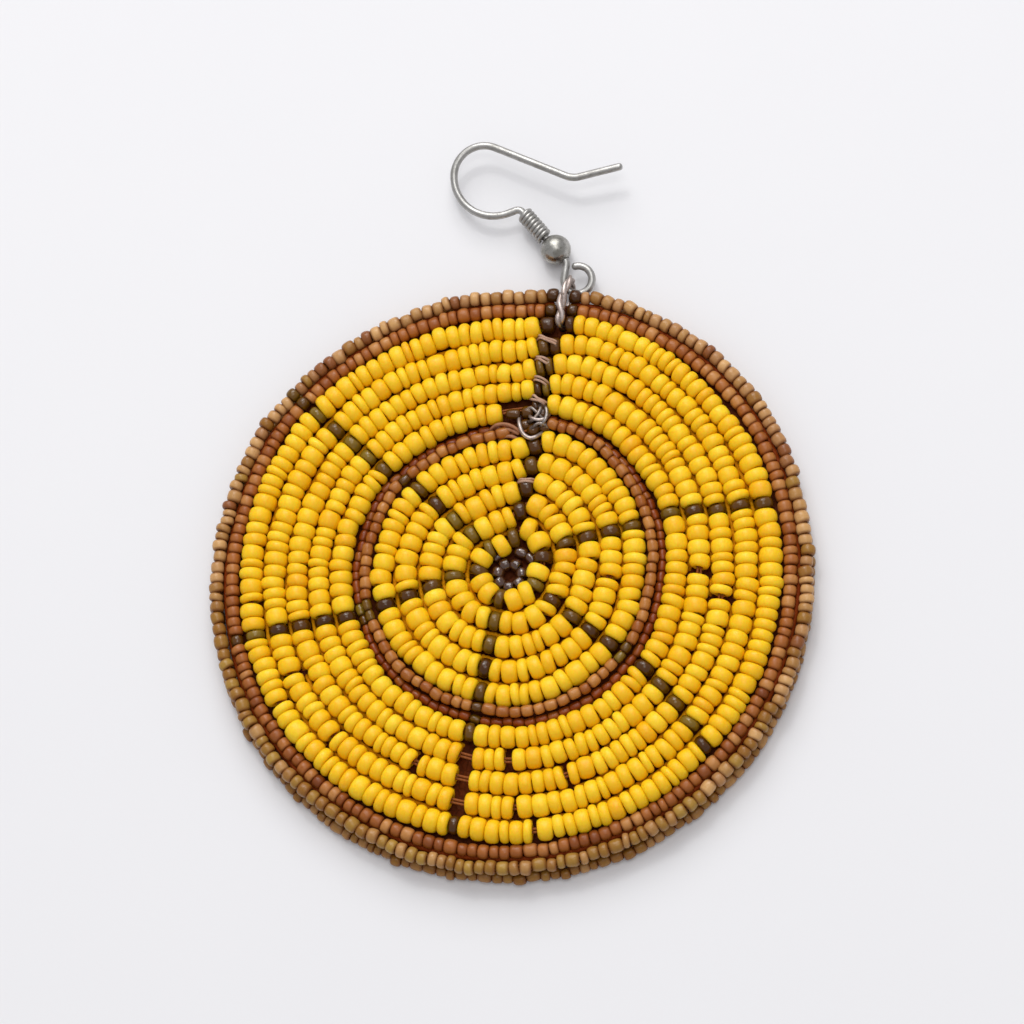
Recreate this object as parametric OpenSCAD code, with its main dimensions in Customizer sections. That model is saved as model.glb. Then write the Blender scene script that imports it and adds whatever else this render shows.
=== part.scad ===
// Beaded disc earring with an ear wire, lying on its leather back.
// Origin: centre of the disc on the underside of the leather.
// +Z points out of the beaded face, +Y to the loop that holds the ear wire. Millimetres.

/* [Leather backing] */
// Diameter of the leather disc
backing_d = 56.4; // [54:0.1:56.6]
// Thickness of the leather
backing_t = 1.6; // [1:0.1:3]

/* [Yellow rows] */
// Diameter of a yellow bead
yellow_bead_d = 2.2; // [1.6:0.05:2.25]
// Distance from one yellow row to the next
yellow_pitch = 2.34; // [2.3:0.01:2.36]
// Radius of the innermost yellow row
yellow_first_r = 2.78; // [2.7:0.01:2.85]
// Radius of the first yellow row outside the brown ring
yellow_outer_r = 16.36; // [16.3:0.01:16.4]

/* [Brown ring] */
// Diameter of a brown bead
brown_bead_d = 1.04; // [0.8:0.02:1.06]
// Radius of the inner brown row, which rides high
brown_inner_r = 13.8; // [13.78:0.01:13.83]
// Radius of the outer brown row, which lies on the leather
brown_outer_r = 14.76; // [14.7:0.01:14.8]
// How much higher the inner brown row lies than the outer one
brown_step = 0.75; // [0.6:0.05:1]

/* [Rim rows] */
// Diameter of a red-brown bead
red_brown_bead_d = 1.45; // [1.2:0.05:1.5]
// Radius of the red-brown row
red_brown_r = 27.72; // [27.65:0.01:27.75]
// Diameter of a gold-brown bead on the rim
gold_bead_d = 1.55; // [1.3:0.05:1.6]
// Radius of the gold-brown row on the rim
gold_r = 29.28; // [29.26:0.01:29.4]
// Diameter of a bead of the edging row
edging_bead_d = 1.4; // [1.2:0.05:1.45]
// Radius of the edging row
edging_r = 29.1; // [29.05:0.01:29.3]

/* [Centre beads] */
// Diameter of a dark centre bead
centre_bead_d = 1.1; // [0.8:0.05:1.15]
// Radius of the ring of dark centre beads
centre_r = 0.98; // [0.9:0.01:1]

/* [Ear wire] */
// Diameter of the ear wire
ear_wire_d = 0.75; // [0.6:0.01:0.8]
// Diameter of the metal ball
ball_d = 3; // [2.5:0.1:3]
// Diameter of the hole through the ball and inside the coil
slip_bore_d = 0.86; // [0.84:0.01:0.9]
// Diameter of the thin wire of the coil
coil_wire_d = 0.44; // [0.3:0.02:0.44]
// Number of turns of the coil
coil_turns = 8; // [5:1:8]
// Angle of the ear wire's shank from +X
shank_angle = 139.4; // [136:0.2:142]
// How far the ear wire's plane rises towards +Y
wire_lift = 7; // [6:0.5:7.5]
// How far the ear wire's plane rises towards +X
wire_roll = 2; // [1:0.5:2.5]

/* [Hanger loop] */
// Diameter of the hanger's wire
hanger_d = 0.64; // [0.5:0.02:0.64]
// Place of the hanger to the right of the disc's top
hanger_x = 0.46; // [0.42:0.01:0.56]

/* [Hidden] */
inner_yellow_rows = 5;
outer_yellow_rows = 5;
yellow_rows = inner_yellow_rows + outer_yellow_rows;

$fn = 96;
wire_fn = 24;

// Gap between the bead rows and the leather, and between the ball and the floor
seat_gap = 0.05;
// A bend of the ear wire is a hair thinner than a straight run, which laps over its end
bend_thinning = 0.02;
run_lap = 0.04;
floor_gap = 0.05;
// Gap between the ball and the coil, and the coil's pitch over its wire's diameter
coil_gap = 0.06;
coil_stretch = 1.04;

// Centre of the ball: it stands on the floor just beyond the rim
ball_centre = [-1.72, 33.68, ball_d / 2 + floor_gap];

// The ear wire from the ball's centre up the shank to its free end, a row for each stretch
// columns: straight run, bend radius, turn (degrees, + to the left)
hook_bends = [
    [5.2, 0.65, 68],
    [0.8, 4.2, -108.5],
    [0.1, 2.95, -114],
    [7.85, 2.3, 36],
    [4.1, 0, 0]
];
// The other way, from the ball's centre down and round the eye
eye_bends = [
    [1.42, 0.6, -49],
    [1.38, 1.4, 292]
];

// The hanger's closed loop, seen from the side, a row for each corner
// columns: distance from the disc's centre, height, bend radius
hanger_over_rows_z = 3.58;
hanger_under_z = 0.36;
hanger_inner_y = 25.7;
hanger_outer_y = 30.66;
hanger_corners = [
    [hanger_inner_y, hanger_under_z, 0.4],
    [hanger_outer_y, hanger_under_z, 0.5],
    [hanger_outer_y, hanger_over_rows_z, 1.1],
    [hanger_inner_y, hanger_over_rows_z, 0.6]
];
// Width of the slots that the hanger runs in
hanger_slot = hanger_d + 0.14;
// Left and right ends of the gap in the edging row, where the eye and the hanger pass
eye_gap = [-1.2, 2.95];

function yellow_r(i) =
    i <= inner_yellow_rows
        ? yellow_first_r + (i - 1) * yellow_pitch
        : yellow_outer_r + (i - inner_yellow_rows - 1) * yellow_pitch;

// Height of the middle of a row that lies on the leather
function on_leather(bead_d) = backing_t + seat_gap + bead_d / 2;

// Heading of a closed path's side i, which runs from corner i to the next
function heading(p, i) =
    let (a = p[i], b = p[(i + 1) % len(p)])
    atan2(b[1] - a[1], b[0] - a[0]);
// Turn of the path at corner i
function turn_at(p, i) =
    let (t = heading(p, i) - heading(p, (i + len(p) - 1) % len(p)))
    t > 180 ? t - 360 : t <= -180 ? t + 360 : t;
// Distance from corner i to where its bend starts
function setback(p, i) = p[i][2] * tan(abs(turn_at(p, i)) / 2);
// Length of side i with its corners left sharp
function side_length(p, i) =
    let (b = p[(i + 1) % len(p)])
    norm([b[0] - p[i][0], b[1] - p[i][1]]);

// A string of beads along its thread: one round tube
module bead_row(row_r, bead_d, middle_z) {
    rotate_extrude()
        translate([row_r, middle_z])
            circle(d = bead_d, $fn = wire_fn);
}

// The slot where the hanger goes down through the outermost yellow row
module hanger_gap() {
    translate([hanger_x - hanger_slot / 2, hanger_inner_y - yellow_bead_d, 0])
        cube([hanger_slot, 2 * yellow_bead_d, backing_t + 2 * yellow_bead_d]);
}

// An arc of wire from the origin, which starts along +X and turns left or right
module wire_bend(wire_d, bend_r, turn) {
    side = sign(turn);
    translate([0, side * bend_r, 0])
        rotate([0, 0, side > 0 ? -90 : 90 + turn])
            rotate_extrude(angle = abs(turn))
                translate([bend_r, 0])
                    circle(d = wire_d, $fn = wire_fn);
}

// A wire that starts along +X and follows the rows of a bend table
module bent_wire(bends, wire_d, i = 0) {
    run = bends[i][0];
    bend_r = bends[i][1];
    turn = bends[i][2];
    end_lap = turn == 0 ? 0 : run_lap;
    translate([-run_lap, 0, 0])
        rotate([0, 90, 0])
            cylinder(d = wire_d, h = run_lap + run + end_lap, $fn = wire_fn);
    translate([run, 0, 0]) {
        if (turn != 0)
            wire_bend(wire_d - bend_thinning, bend_r, turn);
        if (i + 1 < len(bends))
            translate([0, sign(turn) * bend_r, 0])
                rotate([0, 0, turn])
                    translate([0, -sign(turn) * bend_r, 0])
                        bent_wire(bends, wire_d, i + 1);
    }
}

// A closed wire through corners with rounded bends, in the XY plane
module wire_loop(corners, wire_d) {
    for (i = [0:len(corners) - 1]) {
        next = (i + 1) % len(corners);
        run = side_length(corners, i) - setback(corners, i) - setback(corners, next);
        translate([corners[i][0], corners[i][1], 0])
            rotate([0, 0, heading(corners, i)])
                translate([setback(corners, i), 0, 0]) {
                    rotate([0, 90, 0])
                        cylinder(d = wire_d, h = run, $fn = wire_fn);
                    translate([run, 0, 0])
                        wire_bend(wire_d, corners[next][2], turn_at(corners, next));
                }
    }
}

// Places a piece of the ear wire: X runs up the shank from the ball's centre
module on_shank() {
    translate(ball_centre)
        rotate([wire_lift, -wire_roll, 0])
            rotate([0, 0, shank_angle])
                children();
}

module backing() {
    color([0.36, 0.16, 0.09])
        difference() {
            cylinder(d = backing_d, h = backing_t);
            // Stitch hole and groove of the hanger
            translate([hanger_x, hanger_inner_y, -1])
                cylinder(d = hanger_slot, h = backing_t + 2, $fn = wire_fn);
            translate([hanger_x - hanger_slot / 2, hanger_inner_y, -1])
                cube([hanger_slot, backing_d / 2 - hanger_inner_y + 1,
                      1 + hanger_under_z + hanger_slot / 2]);
        }
}

module centre_beads() {
    color([0.16, 0.06, 0.03])
        bead_row(centre_r, centre_bead_d, on_leather(centre_bead_d));
}

module yellow_row(i) {
    color([0.98, 0.78, 0.16])
        difference() {
            bead_row(yellow_r(i), yellow_bead_d, on_leather(yellow_bead_d));
            if (i == yellow_rows)
                hanger_gap();
        }
}

module brown_row_1() {
    color([0.62, 0.38, 0.28])
        bead_row(brown_inner_r, brown_bead_d, on_leather(brown_bead_d) + brown_step);
}

module brown_row_2() {
    color([0.5, 0.27, 0.18])
        bead_row(brown_outer_r, brown_bead_d, on_leather(brown_bead_d));
}

module red_brown_row() {
    color([0.6, 0.32, 0.2])
        bead_row(red_brown_r, red_brown_bead_d, on_leather(red_brown_bead_d));
}

module gold_brown_row() {
    color([0.66, 0.5, 0.28])
        bead_row(gold_r, gold_bead_d, on_leather(gold_bead_d));
}

module edging_row() {
    color([0.58, 0.42, 0.22])
        difference() {
            bead_row(edging_r, edging_bead_d, edging_bead_d / 2 + seat_gap);
            // Room for the ear wire's eye and the hanger
            translate([eye_gap[0], 0, -1])
                cube([eye_gap[1] - eye_gap[0], edging_r + edging_bead_d, edging_bead_d + 2]);
        }
}

module hanger_loop() {
    color([0.5, 0.48, 0.46])
        translate([hanger_x, 0, 0])
            rotate([90, 0, 90])
                wire_loop(hanger_corners, hanger_d);
}

module ear_wire() {
    color([0.7, 0.7, 0.7])
        on_shank() {
            bent_wire(hook_bends, ear_wire_d);
            rotate([0, 0, 180])
                bent_wire(eye_bends, ear_wire_d);
        }
}

module hook_coil() {
    coil_pitch = coil_wire_d * coil_stretch;
    coil_r = (slip_bore_d + coil_wire_d) / 2;
    sleeve_t = coil_wire_d / 3;
    color([0.6, 0.6, 0.6])
        on_shank()
            translate([ball_d / 2 + coil_gap, 0, 0])
                rotate([0, 90, 0])
                    rotate_extrude() {
                        for (i = [0:coil_turns - 1])
                            translate([coil_r, coil_wire_d / 2 + i * coil_pitch])
                                circle(d = coil_wire_d, $fn = wire_fn);
                        translate([coil_r - sleeve_t / 2, coil_wire_d / 2])
                            square([sleeve_t, (coil_turns - 1) * coil_pitch]);
                    }
}

module hook_ball() {
    color([0.68, 0.67, 0.65])
        on_shank()
            rotate([0, 90, 0])
                rotate_extrude()
                    intersection() {
                        circle(d = ball_d);
                        translate([slip_bore_d / 2, -ball_d])
                            square([ball_d, 2 * ball_d]);
                    }
}

backing();
centre_beads();
for (i = [1:yellow_rows])
    yellow_row(i);
brown_row_1();
brown_row_2();
red_brown_row();
gold_brown_row();
edging_row();
hanger_loop();
ear_wire();
hook_coil();
hook_ball();
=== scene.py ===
"""A beaded disc earring: seed beads sewn in rings on a leather disc, with a bent ear wire.

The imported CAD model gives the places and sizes, and this script gives the looks. Lengths here are
in millimetres and MM turns them into metres. Angles round the disc are in degrees, clockwise from
the hanger at +Y.
"""

import math

import bmesh
import bpy
import numpy as np
from mathutils import Matrix, Vector


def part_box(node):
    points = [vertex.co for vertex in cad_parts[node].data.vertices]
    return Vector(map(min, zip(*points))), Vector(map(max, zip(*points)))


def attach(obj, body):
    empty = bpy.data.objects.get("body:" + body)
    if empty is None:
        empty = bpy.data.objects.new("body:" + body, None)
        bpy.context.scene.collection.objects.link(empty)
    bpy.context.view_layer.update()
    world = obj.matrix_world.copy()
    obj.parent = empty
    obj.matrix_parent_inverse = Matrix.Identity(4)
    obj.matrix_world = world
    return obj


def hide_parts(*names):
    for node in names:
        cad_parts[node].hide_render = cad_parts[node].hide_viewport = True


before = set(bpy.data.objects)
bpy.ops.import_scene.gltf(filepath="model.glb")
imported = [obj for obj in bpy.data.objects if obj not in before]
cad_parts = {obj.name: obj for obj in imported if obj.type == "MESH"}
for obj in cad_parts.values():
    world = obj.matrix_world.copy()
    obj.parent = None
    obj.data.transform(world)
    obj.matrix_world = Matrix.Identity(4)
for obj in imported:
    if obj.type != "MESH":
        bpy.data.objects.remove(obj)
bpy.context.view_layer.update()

MM = 0.001
# Where the random numbers of each job start. A row adds its own number to them.
SEEDS = {
    "yellow rows": 20, "other rows": 60, "centre beads": 110, "couching threads": 130,
    "crossing strands": 135, "couching stitches": 140, "edge stitches": 150, "knot": 160,
}

# Sizes of the rows

YELLOW_ROWS = 10
INNER_YELLOW_ROWS = 5
RIM_ROWS = ("red_brown_row", "gold_brown_row", "edging_row")
# The rows from the middle outwards, with how far each lies outside its circle just clockwise of
# the hanger, where its string starts
ROW_START = {
    "yellow_row_1": 1.9, "yellow_row_2": 2.1, "yellow_row_3": 2.0, "yellow_row_4": 1.8,
    "yellow_row_5": 1.55, "brown_row_1": 1.6, "brown_row_2": 1.15, "yellow_row_6": 1.15,
    "yellow_row_7": 1.0, "yellow_row_8": 0.8, "yellow_row_9": 0.5, "yellow_row_10": 0.2,
    "red_brown_row": 0.05, "gold_brown_row": 0.0, "edging_row": 0.0,
}
# The share of that at angles round the disc
START_SHARE = {0: 0.65, 4: 1.0, 20: 0.96, 50: 0.55, 85: 0.05, 110: 0.0, 240: 0.0, 320: 0.1, 352: 0.3}
# How far the stitches shift the rows at angles round the disc, inwards where it is below zero
DRAWN_IN = {
    "ring": {0: -0.05, 20: 0.0, 60: -0.1, 120: -0.25, 200: -0.2, 245: 0.1, 275: 0.2, 296: 0.5, 325: 0.0},
    "yellow": {0: -0.4, 8: 0.1, 40: -0.1, 68: -0.45, 140: -0.4, 180: -0.6, 203: -0.75, 232: -0.4, 275: -0.35,
               295: -0.1, 325: -0.55, 352: -0.9},
    "rim": {0: -0.5, 8: -0.15, 45: -0.1, 68: -0.6, 120: -0.65, 180: -0.75, 203: -0.92, 232: -0.55, 275: -0.5,
            293: -0.25, 325: -0.7, 352: -0.9},
    "edging": {0: -0.3, 30: -0.1, 65: -0.45, 95: -0.4, 120: 0.0, 250: 0.0, 290: -0.2, 330: -0.45},
}
# The yellow rows follow the ring up to this distance, and their own table from this much further on
RING_REACH = (14.5, 7.0)
# Ripples shared by neighbours and ripples of a row's own: size, then share, waves and shift of each
SHARED_RIPPLE = 0.12
SHARED_WAVES = ((0.6, 3, 1.1), (0.4, 7, 0.4))
OWN_RIPPLE = 0.09
OWN_WAVES = ((0.5, 5, 1.0), (0.4, 13, 2.3), (0.3, 29, 4.1))
RIM_RIPPLE_SHARE = 0.4

# Sizes of the beads

# Outline of half a bead: place along the hole as a share of its half length, share of its radius
BEAD_OUTLINE = (
    (0.0, 1.0), (0.36, 0.98), (0.65, 0.922), (0.86, 0.818), (0.985, 0.66), (0.99, 0.5), (0.86, 0.35),
)
BEAD_HOLE = 0.3
BEAD_SIDES = 16
# No bead's top is higher, and none reaches further from the middle
BEAD_TOP = 3.84
RIM_REACH = 30.04
# How unevenly the beads sit: aside and up, their slopes, how much longer one side of them is, and
# the most that they turn where a row climbs
ASIDE, LIFT, YAW, PITCH, WEDGE = 0.05, 0.03, 0.07, 0.04, 0.05
STEEPEST = 0.4
# Shortest and longest bead as shares of its row's pitch, and how much longer a long one is
LENGTH_SHARES = (0.66, 1.5)
LONG_BEAD = 1.45

# The yellow beads: pitch in the inner and outer rows and its spread, width as a share of the row's
# and of the room beside it, and how many are long ones
YELLOW_PITCH = (1.25, 1.2)
YELLOW_SPREAD = 0.19
YELLOW_SWELL = 1.1
YELLOW_SQUEEZE = 1.06
YELLOW_LONG_SHARE = 0.015
# Where a yellow bead is missing and the thread shows: row, angle, length
THREAD_GAPS = (
    (7, 169.6, 0.8), (8, 195.4, 0.7), (7, 80.6, 0.7), (10, 163.9, 0.5), (8, 88.0, 0.6), (9, 236.0, 0.35),
    (10, 231.0, 0.35), (9, 217.0, 0.35), (4, 84.0, 0.35), (9, 168.0, 0.35), (8, 154.0, 0.4), (10, 255.0, 0.3),
)
# The sixth row stops short of the knot, at this angle
ROW_6_STOP = 347.0

# The tone of the rim beads at angles round the disc, and its spread
# Painted light and shade: the red-brown row is lighter towards the top and upper right and darker below; the
# gold-brown row's drift is partly its own hue and partly the same painted light
LIGHT_AND_TONE_DRIFT = {
    "red_brown_row": {0: 0.6, 55: 0.85, 110: 0.65, 180: 0.5, 240: 0.55, 300: 0.75},
    "gold_brown_row": {0: 0.3, 60: 0.32, 90: 0.45, 140: 0.68, 235: 0.72, 280: 0.4, 320: 0.3},
}
TONE_SPREAD = {"red_brown_row": 0.24, "gold_brown_row": 0.2}
# Along the lower rim some edging beads stand out: between these angles, this share of them, by
# this much, in this tone
STAND_OUT_ANGLES = (140.0, 262.0)
STAND_OUT_SHARE = 0.3
STAND_OUT = 0.26
# The standing-out beads' dark olive tone is partly their own colour and partly painted shade low on the rim
STAND_OUT_TONE = 0.62
# Where the ring's two rows are open at the knot, from and to these angles
KNOT_GAPS = {"brown_row_1": (350.0, 363.5), "brown_row_2": (351.0, 362.5)}
# Where the edging row leaves room for the ear wire's eye, from and to these distances aside
EYE_GAP = (-1.2, 2.95)

# Where the six dark spokes cross the rows, at these distances from the centre
SPOKE_RADII = (2.8, 5.7, 8.3, 12.5, 16.3, 20.5, 26.0)
SPOKES = {
    "top": (356.0, 360.0, 361.0, 360.4, 359.6, 358.9, 359.6),
    "upper_right": (54.0, 52.0, 57.0, 59.8, 60.1, 63.4, 65.7),
    "lower_right": (103.0, 115.0, 116.2, 116.2, 116.2, 118.8, 122.9),
    "bottom": (190.0, 185.4, 184.4, 182.5, 183.2, 182.0, 181.6),
    "lower_left": (268.0, 257.0, 250.4, 246.9, 246.2, 247.2, 247.7),
    "upper_left": (313.0, 307.0, 305.5, 304.4, 301.3, 301.2, 301.2),
}
# Length of one dark bead in a spoke
DARK_BEAD = 1.1
# The top spoke is wider: length and number of its dark beads in each yellow row
TOP_SPOKE = {
    1: (1.1, 1), 2: (1.2, 1), 3: (1.3, 1), 4: (1.3, 1), 5: (1.3, 1), 6: (1.5, 2), 7: (1.5, 2),
    8: (1.65, 2), 9: (2.2, 2),
}
# Where the bottom spoke is bare thread: rows, and its length there
BARE_ROWS = (7, 8, 9)
BARE_LENGTH = 1.4
# Dark beads on each side of the hanger: from and to these distances aside, and their width as a
# share of the row's, for a yellow row and the others
HANGER_SIDES = {
    "yellow_row_10": (-1.6, -0.2, 0.8, 1.75), "red_brown_row": (-1.45, -0.33, 0.65, 1.75),
    "gold_brown_row": (-1.55, -0.33, 0.65, 1.8),
}
HANGER_SIDE_WIDTHS = (0.78, 0.9)

# The ring round the middle: number of beads, and how much larger it is than in the CAD model
CENTRE_COUNT = 7
CENTRE_SWELL = 1.2
# Dark beads sewn in beside it: angle, distance from the centre, length, diameter
MIDDLE_BEADS = ((15.0, 2.55, 1.3, 1.15), (40.0, 2.65, 1.2, 1.1), (318.0, 2.3, 1.0, 0.9))

# Sizes of the leather and the thread

LEATHER_UNDERSIDE = 0.1
LEATHER_TOP = 1.6
LEATHER_R = 28.2
LEATHER_SIDES = 160
# Its hole and groove are wider than the hanger by this much
HANGER_ROOM = 0.14

# A row's string is two strands this thick, this far aside and this much above and below the middle
STRING_D = 0.26
STRING_ASIDE = 0.15
STRING_DROP = 0.04
# Thread laid between the yellow rows: height, diameter, how far it sinks at gaps and ends; the
# angles where it ends, and over how many degrees it sinks at an end and at a gap
COUCHING_THREAD = (1.93, 0.5, 0.75)
COUCHING_ENDS = (4.0, 356.0)
COUCHING_SINK = (3.0, 1.5)
COUCHING_POINTS = 360
# Thread wound between the two rim rows: distance from the centre, height, diameter; the angles
# where it ends, and the number and radius of its windings
RIM_THREAD = (28.42, 1.98, 0.62)
RIM_THREAD_ENDS = (2.3, 358.2)
RIM_WINDINGS = 14
RIM_WINDING_R = 0.05

# Pairs of strands that step across the top spoke: rows, diameter, how far a pair lies apart
CROSSING_ROWS = (3, 6, 7, 8, 9)
CROSSING_D = 0.26
CROSSING_APART = 0.27
# Their lowest and highest places, and how far outside the row they start and end
CROSSING_HEIGHTS = (2.6, 3.62)
CROSSING_ENDS = (0.95, -0.1)
# Their shape: share of the way across, share of the rise
CROSSING_SHAPE = ((-0.1, 0.0), (0.1, 0.75), (0.4, 1.0), (0.75, 0.8), (1.05, 0.0))

STITCH_D = 0.13
# Couching stitches: spacing, half length, how many degrees they stay clear of the hanger, and
# their shape on the leather's back, as share of the half length and height
COUCHING_SPACING = 5.2
COUCHING_REACH = 0.75
COUCHING_CLEAR = 4.0
COUCHING_SHAPE = ((-1.0, 0.15), (-0.6, 0.07), (0.0, 0.07), (0.6, 0.07), (1.0, 0.15))
# Edge stitches: number, the middle and half width of their opening at the hanger, in degrees, and
# their distance from the centre where they start
EDGE_STITCHES = 132
EDGE_OPENING = (1.6, 5.5)
EDGE_START = LEATHER_R - 2.1
# From under the leather and round its edge: distance outside the edge, height, share of the lean
EDGE_SHAPE = (
    (-1.2, 0.075, 0.3), (-0.8, 0.1, 0.5), (-0.35, 0.2, 0.7), (0.0, 0.5, 0.85), (0.12, 0.85, 0.95),
    (0.08, 1.25, 1.0), (-0.2, 1.58, 1.0),
)

# Sizes of the wire: the ear wire with its ball and coil, as in the CAD model

EAR_WIRE_D = 0.75
BALL_D = 3.0
BALL_BORE = 0.86
BALL_CENTRE = (-1.72, 33.68, 1.55)
WIRE_LIFT = 7.0
WIRE_ROLL = 2.0
SHANK_ANGLE = 139.4
# Straight run, bend radius, turn to the left
HOOK_BENDS = ((5.2, 0.65, 68.0), (0.8, 4.2, -108.5), (0.1, 2.95, -114.0), (7.85, 2.3, 36.0), (4.1, 0.0, 0.0))
EYE_BENDS = ((1.42, 0.6, -49.0), (1.38, 1.4, 292.0))
BEND_STEP = 0.12
STRAIGHT_STEP = 0.48
COIL_WIRE_D = 0.44
COIL_TURNS = 8
COIL_START = BALL_D / 2 + 0.06
COIL_PITCH = COIL_WIRE_D * 1.04

# The hanger: how far aside it is, its thickness, and the corners of its closed loop as distance
# from the centre, height, bend radius
HANGER_X = 0.46
HANGER_D = 0.64
HANGER_CORNERS = ((25.7, 0.42, 0.4), (30.66, 0.42, 0.5), (30.66, 3.38, 1.1), (25.7, 3.38, 0.6))
# Its two wires, twisted together: length of a twist, the rope's diameter below and on top, and a
# wire's share of it
HANGER_TWIST = 3.3
HANGER_ROPE_D = (0.64, 1.0)
HANGER_PLY = 0.6
# The upper run is thin again at the eye, and thickens over this length
HANGER_THIN = 2.0
# How far the upper run bows to the left in the middle, and the least share of that
HANGER_BOW = 0.3
HANGER_BOW_SHARE = 0.5

# Loops of bare wire in the knot where the top spoke crosses the brown ring: finish, diameter, points
# Loops in the pale hanger plating stand where the tangle shows bright strokes of highlight: painted
# highlight; the rest take the dark knot plating
KNOT_WIRES = (
    ("hanger", 0.42, (-1.95, 15.8, 2.8), (-1.65, 14.85, 3.5), (-1.12, 13.95, 3.62), (-0.42, 13.58, 3.64),
     (0.2, 13.82, 3.5), (0.62, 14.5, 2.8)),
    ("knot_wire", 0.4, (0.1, 17.3, 2.8), (0.65, 16.8, 3.5), (0.85, 16.0, 3.62), (0.6, 15.3, 3.45),
     (0.1, 14.9, 2.7)),
    ("hanger", 0.36, (-1.0, 16.1, 2.8), (-0.55, 15.6, 3.6), (0.1, 15.5, 3.66), (0.7, 15.75, 3.5),
     (0.95, 16.4, 2.8)),
    ("knot_wire", 0.4, (-1.2, 15.3, 2.7), (-0.6, 15.3, 3.5), (-0.1, 15.9, 3.62), (0.1, 16.7, 3.5),
     (-0.3, 17.3, 2.8)),
    ("knot_wire", 0.36, (-1.0, 14.2, 2.6), (-0.4, 14.7, 3.3), (0.2, 15.2, 3.5), (0.8, 15.2, 3.3),
     (1.2, 14.8, 2.7)),
    ("knot_wire", 0.34, (-1.6, 16.4, 2.8), (-0.9, 16.7, 3.3), (-0.2, 16.3, 3.5), (0.4, 15.9, 3.3),
     (1.0, 15.9, 2.7)),
)
# Bare strands that run from the knot along the ring
KNOT_STRANDS = (
    ((-4.5, 14.15, 2.6), (-3.9, 14.5, 3.3), (-3.0, 14.65, 3.5), (-2.2, 14.5, 3.45), (-1.6, 14.2, 3.2)),
    ((-4.1, 13.75, 2.5), (-3.4, 14.1, 3.1), (-2.6, 14.2, 3.3), (-1.7, 14.0, 3.1)),
    ((-3.5, 13.3, 2.5), (-2.9, 13.55, 3.0), (-2.2, 13.6, 3.15), (-1.5, 13.45, 2.9)),
)
KNOT_STRAND_D = 0.34
# Dark beads caught in the knot: middle, way along the hole, length, diameter
KNOT_BEADS = (
    ((-2.5, 15.9, 2.95), (1.0, 0.15, 0.05), 1.4, 1.05),
    ((-0.35, 14.7, 2.75), (0.3, 1.0, 0.1), 1.25, 1.3),
    ((0.25, 16.3, 2.8), (1.0, 0.3, 0.0), 1.2, 1.45),
    ((-1.15, 16.35, 2.75), (1.0, 0.1, 0.1), 1.2, 1.3),
    ((-1.25, 15.0, 2.7), (1.0, 0.5, 0.1), 1.2, 1.2),
    ((0.75, 15.1, 2.7), (0.6, 1.0, 0.1), 1.1, 1.2),
)


# Finishes


class Signal:
    """A socket of a finish that takes part in Python sums, each of which adds a Math node."""

    def __init__(self, finish, socket):
        self.finish = finish
        self.socket = socket

    def sum(self, operation, a, b):
        return self.finish.node("ShaderNodeMath", {"operation": operation}, {0: a, 1: b})

    def __add__(self, other):
        return self.sum("ADD", self, other)

    def __sub__(self, other):
        return self.sum("SUBTRACT", self, other)

    def __rsub__(self, other):
        return self.sum("SUBTRACT", other, self)

    def __mul__(self, other):
        return self.sum("MULTIPLY", self, other)

    __radd__ = __add__
    __rmul__ = __mul__


class Finish:
    """A procedural material, made node by node."""

    def __init__(self, name):
        self.material = bpy.data.materials.new(name)
        self.material.use_nodes = True
        self.tree = self.material.node_tree
        self.shader = self.tree.nodes["Principled BSDF"]

    def node(self, kind, settings=None, sockets=None, out=0):
        """Adds a node: its settings first, then the values or links of its sockets."""
        made = self.tree.nodes.new(kind)
        for key, value in (settings or {}).items():
            if key == "stops":
                ramp = made.color_ramp.elements
                while len(ramp) < len(value):
                    ramp.new(1.0)
                for stop, (place, *colour) in zip(ramp, value):
                    stop.position = place
                    stop.color = (*colour, 1.0)
            else:
                setattr(made, key, value)
        self.set(made, sockets or {})
        return Signal(self, made.outputs[out])

    def set(self, made, sockets):
        for key, value in sockets.items():
            if isinstance(value, Signal):
                self.tree.links.new(value.socket, made.inputs[key])
            elif made.inputs[key].type == "RGBA":
                made.inputs[key].default_value = (*value, 1.0)
            else:
                made.inputs[key].default_value = value

    def surface(self, sockets):
        """Fills the sockets of the shader, and gives the finished material."""
        self.set(self.shader, sockets)
        return self.material

    def place(self):
        return self.node("ShaderNodeTexCoord", out="Object")

    def noise(self, grain_mm, detail=3.0, roughness=0.5):
        """Noise whose lumps are about grain_mm across."""
        sockets = {"Vector": self.place(), "Scale": 1.0 / (grain_mm * MM), "Detail": detail}
        return self.node("ShaderNodeTexNoise", None, {**sockets, "Roughness": roughness})

    def ramp(self, share, stops):
        return self.node("ShaderNodeValToRGB", {"stops": stops}, {"Fac": share})

    def span(self, share, low, high, to_low=0.0, to_high=1.0):
        """Share stretched from low..high to to_low..to_high, and held there."""
        sockets = {"Value": share, "From Min": low, "From Max": high, "To Min": to_low, "To Max": to_high}
        return self.node("ShaderNodeMapRange", None, sockets)

    def mix(self, share, a, b):
        return self.node("ShaderNodeMix", {"data_type": "RGBA"}, {0: share, 6: a, 7: b}, out=2)

    def written(self, name):
        """A value that the mesh carries for each of its points."""
        return self.node("ShaderNodeAttribute", {"attribute_name": name}, out="Fac")

    def bump(self, height, depth_mm, strength):
        sockets = {"Height": height, "Distance": depth_mm * MM, "Strength": strength}
        return self.node("ShaderNodeBump", None, sockets)


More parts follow.
